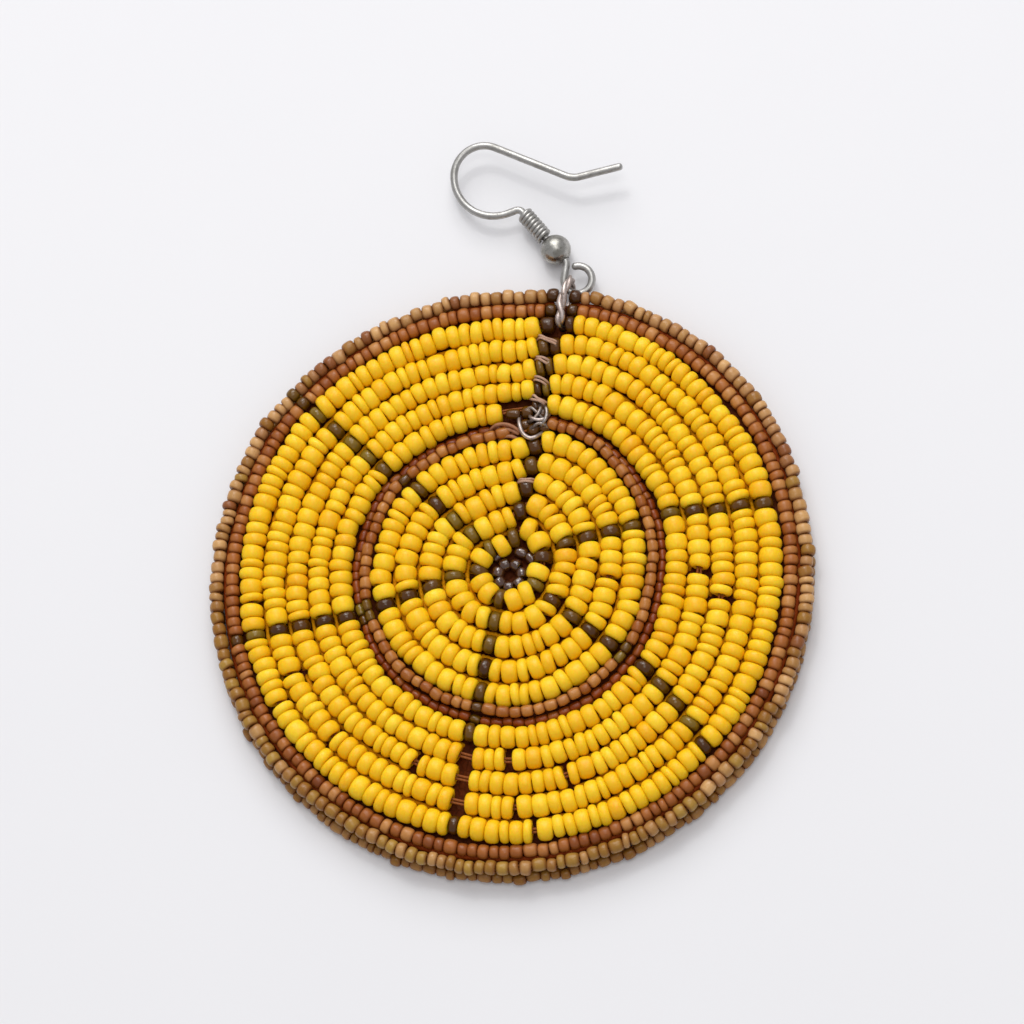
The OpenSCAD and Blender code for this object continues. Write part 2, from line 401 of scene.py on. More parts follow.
def bead_glass(name, tones, deep_tone_and_end_shade, rough=(0.3, 0.46), ends=(0.8, 0.5), glow=0.0, specular=0.32):
    """Bead glass: each bead has its own tone, and its ends by the hole are darker, as painted shade where the
    beads meet.
    """
    finish = Finish(name)
    colour = finish.ramp(finish.written("tone"), tones)
    cloud = finish.span(finish.noise(0.9, 2.0), 0.35, 0.68)
    colour = finish.mix(cloud * 0.18, colour, deep_tone_and_end_shade)
    fleck = finish.span(finish.noise(0.16, 2.0), 0.62, 0.75)
    colour = finish.mix(fleck * 0.3, colour, deep_tone_and_end_shade)
    # Painted shade: the colour deepens towards each bead's ends, where it meets its neighbours
    end = finish.span(finish.written("end"), ends[0], 1.0)
    colour = finish.mix(end * ends[1], colour, deep_tone_and_end_shade)
    return finish.surface({
        "Base Color": colour,
        "Roughness": finish.span(finish.noise(0.45), 0.3, 0.7, *rough),
        "Specular IOR Level": specular,
        "Subsurface Weight": glow,
        "Subsurface Radius": (1.0, 0.45, 0.08),
        "Subsurface Scale": 0.7 * MM,
        "Normal": finish.bump(finish.noise(0.5, 2.0) + 0.35 * finish.noise(0.12, 2.0), 0.06, 0.6),
    })


def worn_leather():
    """Dark red-brown leather with a fine grain, paler where it is rubbed; its top face and the creases of its
    grain are darker as painted shade.
    """
    finish = Finish("worn_leather")
    place = finish.place()
    cells = finish.node("ShaderNodeTexVoronoi", {"feature": "DISTANCE_TO_EDGE"},
                        {"Vector": place, "Scale": 1.0 / (0.75 * MM)})
    crease = finish.span(cells, 0.0, 0.16)
    cloud = finish.span(finish.noise(6.0, 4.0), 0.32, 0.68)
    height = finish.node("ShaderNodeSeparateXYZ", None, {0: place}, out=2)
    colour = finish.mix(cloud, (0.1, 0.024, 0.008), (0.17, 0.046, 0.016))
    # Painted shade: the top face shows only between the beads and in the centre hole, so it is made darker
    front_shade_colour = finish.mix(cloud, (0.075, 0.012, 0.001), (0.125, 0.023, 0.002))
    front = finish.span(height, (LEATHER_TOP - 0.4) * MM, (LEATHER_TOP - 0.05) * MM)
    colour = finish.mix(front, colour, front_shade_colour)
    # Painted shade in the creases of the grain
    colour = finish.mix((1 - crease) * 0.5, colour, (0.05, 0.01, 0.003))
    rub = finish.span(finish.noise(1.6, 5.0, 0.7), 0.58, 0.74)
    colour = finish.mix(rub * 0.25, colour, (0.22, 0.075, 0.02))
    return finish.surface({
        "Base Color": colour,
        "Specular IOR Level": 0.08,
        "Roughness": finish.span(cloud + rub * 0.5, 0.0, 1.5, 0.5, 0.74),
        "Normal": finish.bump(crease + finish.noise(0.14) * 0.35, 0.06, 0.8),
    })


def waxed_thread(name, dark, pale, specular=0.25):
    """Thin twisted thread."""
    finish = Finish(name)
    twist = finish.node("ShaderNodeTexWave", {"bands_direction": "DIAGONAL"},
                        {"Vector": finish.place(), "Scale": 1.0 / (0.5 * MM), "Distortion": 1.5})
    return finish.surface({
        "Base Color": finish.mix(finish.noise(0.5), dark, pale),
        "Specular IOR Level": specular,
        "Roughness": finish.span(twist, 0.0, 1.0, 0.5, 0.7),
        "Normal": finish.bump(twist, 0.03, 0.7),
    })


def grey_metal(name, bright, dull, tarnish, rough, tarnished=0.45):
    """Plated wire: bright where it is rubbed, duller in patches, with fine draw marks."""
    finish = Finish(name)
    patch = finish.span(finish.noise(1.1, 4.0, 0.6), 0.4, 0.66)
    speck = finish.span(finish.noise(0.2), 0.58, 0.72)
    colour = finish.mix(patch, bright, dull)
    return finish.surface({
        "Base Color": finish.mix(speck * tarnished, colour, tarnish),
        "Metallic": 1.0,
        "Roughness": finish.span(patch + speck * 0.6, 0.0, 1.6, *rough),
        "Normal": finish.bump(finish.noise(0.07, 2.0) + finish.noise(0.6, 2.0) * 0.8, 0.012, 0.6),
    })


def studio_floor():
    """Plain pale paper."""
    finish = Finish("studio_floor")
    return finish.surface({
        "Base Color": finish.mix(finish.noise(40.0, 2.0), (0.765, 0.76, 0.775), (0.785, 0.78, 0.79)),
        "Roughness": finish.span(finish.noise(3.0), 0.0, 1.0, 0.75, 0.85),
    })


FINISHES = {
    "yellow": bead_glass("yellow_glass", (
        (0.0, 0.83, 0.41, 0.003), (0.2, 0.86, 0.485, 0.004), (0.7, 0.9, 0.56, 0.008),
        (1.0, 0.95, 0.64, 0.022),
    ), (0.86, 0.42, 0.004), ends=(0.9, 0.15), glow=0.42),
    "ring_brown": bead_glass("ring_brown_glass", (
        (0.0, 0.18, 0.028, 0.002), (0.3, 0.26, 0.05, 0.004), (0.5, 0.32, 0.1, 0.014), (1.0, 0.52, 0.22, 0.05),
    ), (0.17, 0.03, 0.002), (0.2, 0.34), (0.6, 0.75)),
    "red_brown": bead_glass("red_brown_glass", (
        (0.0, 0.18, 0.044, 0.007), (0.3, 0.28, 0.08, 0.014), (0.75, 0.38, 0.125, 0.024),
        (1.0, 0.5, 0.22, 0.06),
    ), (0.17, 0.028, 0.002), (0.26, 0.4), (0.6, 0.75)),
    "gold_brown": bead_glass("gold_brown_glass", (
        (0.0, 0.25, 0.085, 0.025), (0.3, 0.62, 0.35, 0.135), (0.6, 0.28, 0.12, 0.018),
        (1.0, 0.4, 0.23, 0.042),
    ), (0.17, 0.045, 0.006), (0.18, 0.32), (0.5, 0.85), specular=0.3),
    "dark": bead_glass("dark_glass", (
        (0.0, 0.05, 0.015, 0.001), (0.4, 0.1, 0.036, 0.001), (0.8, 0.15, 0.072, 0.003),
        (1.0, 0.22, 0.135, 0.01),
    ), (0.045, 0.013, 0.001), (0.08, 0.18), (0.6, 0.7), specular=0.4),
    "dark_glossy": bead_glass("glossy_dark_glass", (
        (0.0, 0.035, 0.009, 0.003), (1.0, 0.09, 0.03, 0.009),
    ), (0.03, 0.009, 0.002), (0.05, 0.12), (0.6, 0.7), specular=1.0),
    "leather": worn_leather(),
    "thread": waxed_thread("brown_thread", (0.17, 0.035, 0.004), (0.34, 0.11, 0.02)),
    "red_thread": waxed_thread("deep_red_thread", (0.12, 0.013, 0.0), (0.22, 0.036, 0.001), 0.08),
    # The couching thread's bright orange is partly painted bounce light: it stands for the yellow light
    # reflected into the gaps between the rows
    "gold_thread": waxed_thread("gold_thread", (0.66, 0.25, 0.0), (0.82, 0.37, 0.002), 0.08),
    "bare_strand": waxed_thread("bare_strand", (0.24, 0.09, 0.04), (0.42, 0.2, 0.11)),
    "pale_strand": waxed_thread("pale_strand", (0.34, 0.18, 0.11), (0.55, 0.36, 0.26)),
    "ear_wire": grey_metal(
        "ear_wire_plating", (0.46, 0.45, 0.43), (0.34, 0.33, 0.31), (0.15, 0.14, 0.12), (0.36, 0.54)),
    "ball": grey_metal(
        "ball_plating", (0.44, 0.43, 0.4), (0.27, 0.26, 0.23), (0.1, 0.09, 0.07), (0.26, 0.42), 0.7),
    "hanger": grey_metal(
        "hanger_wire_plating", (0.55, 0.47, 0.43), (0.36, 0.29, 0.26), (0.12, 0.06, 0.04), (0.42, 0.6), 0.8),
    "knot_wire": grey_metal(
        "knot_wire_plating", (0.4, 0.35, 0.32), (0.13, 0.09, 0.07), (0.05, 0.02, 0.01), (0.34, 0.5), 0.95),
    "floor": studio_floor(),
}


# Making pieces


def mesh_of(name, shape):
    """A mesh from points in millimetres, and faces."""
    points, faces = shape
    mesh = bpy.data.meshes.new(name)
    mesh.from_pydata((np.asarray(points) * MM).tolist(), [], faces)
    return mesh


def in_scene(name, data):
    """An object of the scene, for a mesh, a camera or a light."""
    made = bpy.data.objects.new(name, data)
    bpy.context.scene.collection.objects.link(made)
    return made


def piece(name, shape, finish, stands_for=(), carried=None):
    """A piece of the earring, which may carry values at its points."""
    mesh = mesh_of(name, shape)
    mesh.materials.append(FINISHES[finish])
    mesh.shade_smooth()
    for key, values in (carried or {}).items():
        layer = mesh.attributes.new(key, "FLOAT", "POINT")
        layer.data.foreach_set("value", np.asarray(values, dtype=np.float32))
    made = in_scene(name, mesh)
    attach(made, "root")
    if stands_for:
        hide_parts(*stands_for)
    return made


def joined(shapes):
    """Several shapes as one."""
    points, faces, start = [], [], 0
    for some_points, some_faces in shapes:
        points.append(some_points)
        faces.extend(tuple(i + start for i in face) for face in some_faces)
        start += len(some_points)
    return np.concatenate(points), faces


def skin(rings, closed):
    """A surface through rings of points, from the last back to the first where it is closed."""
    rings = np.array(rings)
    count, sides, _ = rings.shape
    faces = []
    for k in range(count if closed else count - 1):
        here, there = k * sides, (k + 1) % count * sides
        faces.extend((here + j, here + (j + 1) % sides, there + (j + 1) % sides, there + j)
                     for j in range(sides))
    return rings.reshape(-1, 3), faces


def lathe(outline, sides, closed=True):
    """An outline of (radius, height) turned round the Z axis."""
    turn = [2 * math.pi * k / sides for k in range(sides)]
    return skin([[(r * math.cos(a), r * math.sin(a), z) for a in turn] for r, z in outline], closed)


def along_x(shape):
    """A shape whose Z axis is laid along X."""
    points, faces = shape
    return points[:, [2, 0, 1]], faces


def rounded_end(ring, way):
    """Smaller and smaller rings past the end of a tube, the smallest first."""
    place, along, side, other, r = ring
    return [(place + way * along * r * math.sin(a) * 0.8, along, side, other, r * math.cos(a))
            for a in np.radians((75, 50, 25))]


def tube(path, radius, sides=12, closed=False):
    """A round tube along a path, with a frame that doesn't twist; radius may vary along it."""
    path = np.asarray(path, dtype=float)
    radii = np.broadcast_to(radius, len(path))
    ways = np.roll(path, -1, 0) - np.roll(path, 1, 0) if closed else np.gradient(path, axis=0)
    ways /= np.linalg.norm(ways, axis=1)[:, None]
    side = np.cross(ways[0], (0.0, 0.0, 1.0))
    if np.linalg.norm(side) < 0.1:
        side = np.cross(ways[0], (1.0, 0.0, 0.0))
    rings = []
    for place, along, r in zip(path, ways, radii):
        side = side - along * (side @ along)
        side /= np.linalg.norm(side)
        rings.append((place, along, side, np.cross(along, side), r))
    if not closed:
        rings = rounded_end(rings[0], -1) + rings + rounded_end(rings[-1], 1)[::-1]
    turn = np.linspace(0, 2 * np.pi, sides, endpoint=False)
    points, faces = skin([[place + r * (side * math.cos(a) + other * math.sin(a)) for a in turn]
                          for place, _, side, other, r in rings], closed)
    if not closed:
        faces.append(tuple(range(sides))[::-1])
        faces.append(tuple(range(len(points) - sides, len(points))))
    return points, faces


def curve_through(points, steps=8):
    """A smooth path through some points."""
    p = np.array([points[0], *points, points[-1]], dtype=float)
    path = []
    for k in range(1, len(p) - 2):
        for t in np.linspace(0, 1, steps, endpoint=False):
            path.append(0.5 * (2 * p[k] + (p[k + 1] - p[k - 1]) * t
                               + (2 * p[k - 1] - 5 * p[k] + 4 * p[k + 1] - p[k + 2]) * t ** 2
                               + (3 * p[k] - p[k - 1] - 3 * p[k + 1] + p[k + 2]) * t ** 3))
    path.append(p[-2])
    return path


def on_disc(radius, angle, height):
    """The point at a distance from the middle, an angle and a height."""
    a = math.radians(angle)
    return radius * math.sin(a), radius * math.cos(a), height


# Beads


def chance(job, row=0):
    """The random numbers of a job, the same in every run."""
    return np.random.default_rng(SEEDS[job] + row)


def bead_shape():
    """A bead of half length 1 and radius 1, its hole along X: points, and faces."""
    half = [(share, place) for place, share in BEAD_OUTLINE]
    outline = [(share, -place) for share, place in reversed(half[1:])] + half + [(BEAD_HOLE, 0.0)]
    points, faces = along_x(lathe(outline, BEAD_SIDES))
    return points, np.array(faces)


SHAPE_POINTS, SHAPE_FACES = bead_shape()


def make_beads(name, beads, finish, stands_for=()):
    """One piece of many beads, each: middle x y z, way along the hole x y z, length, diameter, wedge,
    tone."""
    beads = np.array(beads)
    centre, along = beads[:, 0:3], beads[:, 3:6]
    length, width, wedge, tone = beads[:, 6:].T
    along = along / np.linalg.norm(along, axis=1)[:, None]
    out = np.cross((0.0, 0.0, 1.0), along)
    out /= np.linalg.norm(out, axis=1)[:, None]
    up = np.cross(along, out)
    u, v, w = SHAPE_POINTS.T
    reach = u * (1 + wedge[:, None] * v) * length[:, None] / 2
    points = (centre[:, None] + reach[..., None] * along[:, None]
              + (v * width[:, None] / 2)[..., None] * out[:, None]
              + (w * width[:, None] / 2)[..., None] * up[:, None])
    count = len(SHAPE_POINTS)
    faces = (SHAPE_FACES + (np.arange(len(beads)) * count)[:, None, None]).reshape(-1, 4)
    # end: how near each point is to its bead's end by the hole; the finishes darken it there as painted shade
    # where beads meet
    carried = {"tone": np.repeat(tone, count), "end": np.tile(np.abs(u), len(beads))}
    piece(name, (points.reshape(-1, 3), faces.tolist()), finish, stands_for, carried)


def row_size(node):
    """Radius, height of the middle, and bead diameter of a row, from its CAD tube."""
    low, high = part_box(node)
    bead_d = (high[2] - low[2]) / MM
    return high[0] / MM - bead_d / 2, (low[2] + high[2]) / 2 / MM, bead_d


ROWS = {row: row_size(row) for row in ROW_START}
DARK_BEADS = {name: [] for name in SPOKES}


def held(value, low, high):
    return min(high, max(low, value))


def between(table, angle):
    """The value at an angle, from a table of values at angles."""
    return float(np.interp(angle, list(table), list(table.values()), period=360))


def drawn_in(row, angle):
    """How far the stitches shift a row, at an angle."""
    if row in RIM_ROWS:
        return between(DRAWN_IN["edging" if row == "edging_row" else "rim"], angle)
    share = held((ROWS[row][0] - RING_REACH[0]) / RING_REACH[1], 0.0, 1.0)
    return (1 - share) * between(DRAWN_IN["ring"], angle) + share * between(DRAWN_IN["yellow"], angle)


def row_radius(row, angle):
    """Distance of a row's string from the middle, at an angle."""
    t = math.radians(angle)
    phase = 1.3 * list(ROWS).index(row)
    own = OWN_RIPPLE * sum(share * math.sin(waves * t + shift * phase) for share, waves, shift in OWN_WAVES)
    circle = ROWS[row][0] + drawn_in(row, angle)
    if row in RIM_ROWS:
        return circle + RIM_RIPPLE_SHARE * own + ROW_START[row]
    shared = SHARED_RIPPLE * sum(share * math.sin(waves * t + shift) for share, waves, shift in SHARED_WAVES)
    return circle + ROW_START[row] * between(START_SHARE, angle) + shared + own


def room_beside(index, angle):
    """Distance from a yellow row to the nearer of its yellow neighbours, at an angle."""
    return min(abs(row_radius(f"yellow_row_{k}", angle) - row_radius(f"yellow_row_{index}", angle))
               for k in (index - 1, index + 1)
               if 1 <= k <= YELLOW_ROWS and {k, index} != {INNER_YELLOW_ROWS, INNER_YELLOW_ROWS + 1})


def spoke_angles(radius):
    """Angle of each spoke at a distance from the centre."""
    return {name: float(np.interp(radius, SPOKE_RADII, angles)) for name, angles in SPOKES.items()}


def fill_arc(rng, row, start, end, pitch, spread, long_share):
    """Middle angles and lengths of beads that fill a stretch of a row's string."""
    angles = np.linspace(start, end, max(2, round(end - start) + 1))
    radii = np.array([row_radius(row, a) for a in angles])
    along = np.r_[0.0, np.cumsum(np.radians(np.diff(angles)) * (radii[:-1] + radii[1:]) / 2)]
    count = max(1, round(along[-1] / pitch))
    sizes = np.clip(rng.normal(1.0, spread, count), *LENGTH_SHARES)
    sizes = np.where(rng.random(count) < long_share, sizes * LONG_BEAD, sizes)
    sizes *= along[-1] / sizes.sum()
    edges = np.r_[0, np.cumsum(sizes)]
    return zip(np.interp((edges[:-1] + edges[1:]) / 2, along, angles), sizes)


def placed_bead(rng, row, angle, length, width, tone, sway=1.0, gap=0.03, out=0.0):
    """A bead of a row, at its own slight tilt, resting on the leather."""
    _, middle, bead_d = ROWS[row]
    r = min(row_radius(row, angle) + rng.normal(0, ASIDE) * sway + out, RIM_REACH - width / 2)
    rest = min(middle - (bead_d - width) / 2 + LIFT * rng.random(), BEAD_TOP - width / 2)
    climb = (row_radius(row, angle + 1) - row_radius(row, angle - 1)) / (math.radians(2) * r)
    yaw = rng.normal(0, YAW) * sway + held(climb, -STEEPEST, STEEPEST)
    pitch = rng.normal(0, PITCH) * sway
    a = math.radians(angle)
    along = (math.cos(a) + yaw * math.sin(a), -math.sin(a) + yaw * math.cos(a), pitch)
    return [*on_disc(r, angle, rest), *along, length - gap, width, rng.normal(0, WEDGE), tone]


def bare_stretches(index):
    """Where a yellow row is bare thread: middles and half widths, in degrees."""
    radius = ROWS[f"yellow_row_{index}"][0]
    bare = [(angle, math.degrees(long / 2 / radius)) for row, angle, long in THREAD_GAPS if row == index]
    if index in BARE_ROWS:
        bare.append((spoke_angles(radius)["bottom"], math.degrees(BARE_LENGTH / 2 / radius)))
    return bare


def beside_hanger(rng, row):
    """Makes a row's dark beads beside the hanger, and gives the ends of the stretch that they take."""
    radius, _, bead_d = ROWS[row]
    ends = [math.degrees(math.asin(x / row_radius(row, 0.0))) for x in HANGER_SIDES[row]]
    width = bead_d * HANGER_SIDE_WIDTHS[not row.startswith("yellow")]
    for start, end in (ends[:2], ends[2:]):
        long = math.radians(end - start) * radius
        DARK_BEADS["top"].append(placed_bead(rng, row, (start + end) / 2, long, width, 0.3 * rng.random()))
    return ends[0], ends[-1]


def yellow_stops(rng, index):
    """Makes a yellow row's dark beads, and gives the middles and half widths of its stops."""
    row = f"yellow_row_{index}"
    radius, _, bead_d = ROWS[row]
    stops = bare_stretches(index)
    for name, angle in spoke_angles(radius).items():
        if name == "top" and row in HANGER_SIDES:
            start, end = beside_hanger(rng, row)
            stops.append(((start + end) / 2, (end - start) / 2))
            continue
        if name == "bottom" and index in BARE_ROWS:
            continue
        dark, count = DARK_BEAD * (0.85 + 0.25 * rng.random()), 1
        if name == "top":
            dark, count = TOP_SPOKE[index]
        half = math.degrees(dark / 2 / row_radius(row, angle))
        for k in range(count):
            width = min(bead_d, room_beside(index, angle)) * (0.84 + 0.1 * rng.random())
            place = angle - half + half * (2 * k + 1) / count
            DARK_BEADS[name].append(placed_bead(rng, row, place, dark / count, width, rng.random()))
        stops.append((angle, half))
    if index == INNER_YELLOW_ROWS + 1:
        half = (360 - ROW_6_STOP) / 2
        stops.append((ROW_6_STOP + half, half))
    return sorted((angle % 360.0, half) for angle, half in stops)


def yellow_row(index):
    """A row of yellow beads, with dark beads at each spoke."""
    row = f"yellow_row_{index}"
    rng = chance("yellow rows", index)
    pitch = YELLOW_PITCH[index > INNER_YELLOW_ROWS]
    widest = ROWS[row][2] * YELLOW_SWELL
    stops = yellow_stops(rng, index)
    made = []
    for k, (angle, half) in enumerate(stops):
        next_angle, next_half = stops[(k + 1) % len(stops)]
        end = next_angle + (360 if k + 1 == len(stops) else 0) - next_half
        if end <= angle + half:
            continue
        for middle, long in fill_arc(rng, row, angle + half, end, pitch, YELLOW_SPREAD, YELLOW_LONG_SHARE):
            width = min(widest, room_beside(index, middle) * YELLOW_SQUEEZE) * (1 - 0.08 * rng.random())
            made.append(placed_bead(rng, row, middle, long, width, rng.beta(2.2, 1.8), gap=-0.02))
    make_beads(f"{row}_beads", made, "yellow", [row])


def plain_row(row, finish, pitch, spread, widths, tones=(0.0, 1.0), breaks=(), sway=1.0):
    """A row of one colour. A break is its two ends, and the spoke whose dark beads fill it, or None."""
    rng = chance("other rows", list(ROWS).index(row))
    bead_d = ROWS[row][2]
    breaks = list(breaks)
    if row in HANGER_SIDES:
        breaks.append((*beside_hanger(rng, row), None))
    breaks.sort()
    made = []
    for k, (start, end, spoke) in enumerate(breaks):
        following = breaks[(k + 1) % len(breaks)][0] + (360 if k + 1 == len(breaks) else 0)
        if spoke:
            for middle, long in fill_arc(rng, row, start, end, pitch, 0.1, 0.0):
                width = bead_d * (0.86 + 0.1 * rng.random())
                DARK_BEADS[spoke].append(placed_bead(rng, row, middle, long, width, rng.random()))
        for middle, long in fill_arc(rng, row, end, following, pitch, spread, 0.0):
            width = bead_d * (widths[0] + (widths[1] - widths[0]) * rng.random())
            tone = tones[0] + (tones[1] - tones[0]) * rng.beta(1.6, 1.6)
            # Painted light: the rim beads' tone follows their place round the disc, lighter towards the top
            if row in LIGHT_AND_TONE_DRIFT:
                tone = held(between(LIGHT_AND_TONE_DRIFT[row], middle) + TONE_SPREAD[row] * rng.normal(), 0.0, 1.0)
            out = 0.0
            if row == "edging_row" and rng.random() < STAND_OUT_SHARE:
                if STAND_OUT_ANGLES[0] < middle % 360 < STAND_OUT_ANGLES[1]:
                    out, tone = STAND_OUT, STAND_OUT_TONE
            made.append(placed_bead(rng, row, middle, long, width, tone, sway, 0.0, out))
    make_beads(f"{row}_beads", made, finish, [row])


def dark_stretches(row, beads):
    """Breaks that dark beads take in a row, from each spoke's name and number of beads."""
    radius = ROWS[row][0]
    stretches = []
    for name, count in beads:
        half = math.degrees(count * DARK_BEAD / 2 / radius)
        angle = spoke_angles(radius)[name] % 360.0
        stretches.append((angle - half, angle + half, name))
    return stretches


def ring_breaks(row, *beads):
    """Breaks in a row of the ring: its gap at the knot, and its dark beads."""
    return [(*KNOT_GAPS[row], None)] + dark_stretches(row, beads)


def bead_rows():
    for index in range(1, YELLOW_ROWS + 1):
        yellow_row(index)
    # The inner ring row takes the lighter half of the tones and the outer the darker half: partly their own
    # colour, partly painted highlight on the higher inner row and painted shade on the lower outer one
    plain_row("brown_row_1", "ring_brown", 1.15, 0.1, (0.98, 1.12), (0.42, 1.0),
              ring_breaks("brown_row_1", ("lower_left", 2), ("upper_left", 1), ("lower_right", 2),
                          ("bottom", 1)))
    plain_row("brown_row_2", "ring_brown", 1.08, 0.1, (0.86, 0.98), (0.0, 0.5),
              ring_breaks("brown_row_2", ("lower_left", 2), ("bottom", 1)))
    plain_row("red_brown_row", "red_brown", 1.04, 0.12, (0.88, 1.02),
              breaks=dark_stretches("red_brown_row", [("upper_left", 1), ("lower_left", 1)]))
    plain_row("gold_brown_row", "gold_brown", 1.05, 0.16, (0.83, 0.97),
              breaks=dark_stretches("gold_brown_row", [("upper_left", 1)]), sway=1.8)
    gap = [math.degrees(math.asin(x / ROWS["gold_brown_row"][0])) for x in EYE_GAP]
    # The edging row takes the darker olive tones: partly its own colour, partly painted shade under the rim
    plain_row("edging_row", "gold_brown", 1.06, 0.18, (0.78, 0.88), (0.42, 0.75),
              [(*gap, None)], 1.2)


def centre_beads():
    """The small ring of dark glossy beads round the middle, with a few beside it."""
    rng = chance("centre beads")
    radius, middle, bead_d = row_size("centre_beads")
    radius *= CENTRE_SWELL
    bead_d *= CENTRE_SWELL
    length = 2 * math.pi * radius / CENTRE_COUNT * 0.98
    made = []
    for k in range(CENTRE_COUNT):
        angle = 360 * (k + 0.3 + 0.1 * rng.random()) / CENTRE_COUNT
        height = middle + 0.1 + 0.1 * rng.random()
        made.append([*on_disc(radius, angle, height), *on_disc(1.0, angle + 90, 0.2 * rng.normal()), length,
                     bead_d * (0.9 + 0.1 * rng.random()), 0.0, 0.2 + 0.5 * rng.random()])
    for angle, far, length, width in MIDDLE_BEADS:
        made.append([*on_disc(far, angle, LEATHER_TOP + width / 2), *on_disc(1.0, angle + 90, 0.0), length,
                     width, 0.0, 0.5 + 0.5 * rng.random()])
    make_beads("centre_ring_beads", made, "dark_glossy", ["centre_beads"])


def spoke_beads():
    for name, beads in DARK_BEADS.items():
        make_beads(f"spoke_{name}_beads", beads, "dark")


# Leather and thread


def leather_disc():
    """The backing: a soft-edged disc with the hanger's stitch hole and groove cut in it."""
    under, top, r = LEATHER_UNDERSIDE, LEATHER_TOP, LEATHER_R
    edge = [(r - 0.9, under), (r - 0.45, under + 0.08), (r - 0.12, under + 0.32), (r, under + 0.75),
            (r - 0.06, top - 0.3), (r - 0.35, top - 0.04), (r - 0.8, top)]
    rings = [k * 1.5 for k in range(1, 18)]
    outline = [(x, under) for x in rings] + edge + [(x, top) for x in reversed(rings)]
    points, faces = lathe(outline, LEATHER_SIDES, closed=False)
    count = len(points)
    for k in range(LEATHER_SIDES):
        j = (k + 1) % LEATHER_SIDES
        faces.append((count, j, k))
        faces.append((count + 1, count - LEATHER_SIDES + k, count - LEATHER_SIDES + j))
    points = np.concatenate([points, [(0.0, 0.0, under), (0.0, 0.0, top)]])
    disc = piece("leather_disc", (points, faces), "leather", ["backing"])
    half_w = (HANGER_D + HANGER_ROOM) / 2
    inner_y, under_z = HANGER_CORNERS[0][:2]
    hole, hole_faces = lathe([(0.001, -1.0), (half_w, -1.0), (half_w, 3.0), (0.001, 3.0)], 24)
    cut_in(disc, "hole", (hole + (HANGER_X, inner_y, 0.0), hole_faces))
    corners = [(HANGER_X + x * half_w, y, z) for z in (-1.0, under_z + half_w) for x, y in
               ((-1, inner_y), (1, inner_y), (1, r + 1.0), (-1, r + 1.0))]
    box_faces = [(0, 3, 2, 1), (4, 5, 6, 7), (0, 1, 5, 4), (1, 2, 6, 5), (2, 3, 7, 6), (3, 0, 4, 7)]
    cut_in(disc, "groove", (corners, box_faces))


def cut_in(body, label, shape):
    """Cuts a closed shape out of a piece."""
    mesh = mesh_of(label, shape)
    made = bmesh.new()
    made.from_mesh(mesh)
    bmesh.ops.remove_doubles(made, verts=made.verts, dist=0.01 * MM)
    bmesh.ops.recalc_face_normals(made, faces=made.faces)
    made.to_mesh(mesh)
    made.free()
    cutter = in_scene(label, mesh)
    cut = body.modifiers.new(label, "BOOLEAN")
    cut.operation, cut.solver, cut.object = "DIFFERENCE", "EXACT", cutter
    view = bpy.context.evaluated_depsgraph_get()
    done = bpy.data.meshes.new_from_object(body.evaluated_get(view))
    body.modifiers.remove(cut)
    body.data = done
    bpy.data.objects.remove(cutter)


def thread(path, diameter, sides=6):
    """A thread along points that are: distance from the middle, angle, height."""
    return tube([on_disc(*point) for point in path], diameter / 2, sides)


def row_strings():
    """The string of each row, two strands side by side."""
    parts = []
    for row in ROWS:
        ends = (6.5, 356.5) if row == "edging_row" else (2.6, 357.4)
        for side in (-1, 1):
            height = ROWS[row][1] - STRING_DROP * side
            parts.append(thread([(row_radius(row, angle) + STRING_ASIDE * side, angle, height)
                                 for angle in np.linspace(*ends, 160)], STRING_D))
    piece("row_threads", joined(parts), "thread")


def couching_threads():
    """The threads laid between the yellow rows; their bright orange is partly painted bounce light in the
    gaps.
    """
    rng = chance("couching threads")
    height, thread_d, deepest = COUCHING_THREAD
    start, stop = COUCHING_ENDS
    parts = []
    for index in range(1, YELLOW_ROWS):
        if index == INNER_YELLOW_ROWS:
            continue
        inner, outer = f"yellow_row_{index}", f"yellow_row_{index + 1}"
        last = ROW_6_STOP if index == INNER_YELLOW_ROWS + 1 else stop
        bare = bare_stretches(index) + bare_stretches(index + 1)
        path = []
        for angle in np.linspace(start, last, COUCHING_POINTS):
            r = (row_radius(inner, angle) + row_radius(outer, angle)) / 2 + 0.02 * rng.normal()
            ends = (1 - (angle - start) / COUCHING_SINK[0], 1 - (last - angle) / COUCHING_SINK[0])
            dips = [1 - (abs(angle - middle) - half) / COUCHING_SINK[1] for middle, half in bare]
            path.append((r, angle, height - deepest * held(max(*ends, *dips), 0.0, 1.0)))
        parts.append(thread(path, thread_d * (1 + 0.1 * rng.normal(size=COUCHING_POINTS))))
    piece("couching_threads", joined(parts), "gold_thread")


def rim_thread():
    """The thread wound between the two rim rows."""
    radius, height, thread_d = RIM_THREAD
    path = []
    for angle in np.linspace(*RIM_THREAD_ENDS, 900):
        turn = math.radians(angle * RIM_WINDINGS)
        r = radius + between(DRAWN_IN["rim"], angle) + RIM_WINDING_R * math.sin(turn)
        path.append((r, angle, height + RIM_WINDING_R * math.cos(turn)))
    piece("rim_thread", thread(path, thread_d, 8), "red_thread")


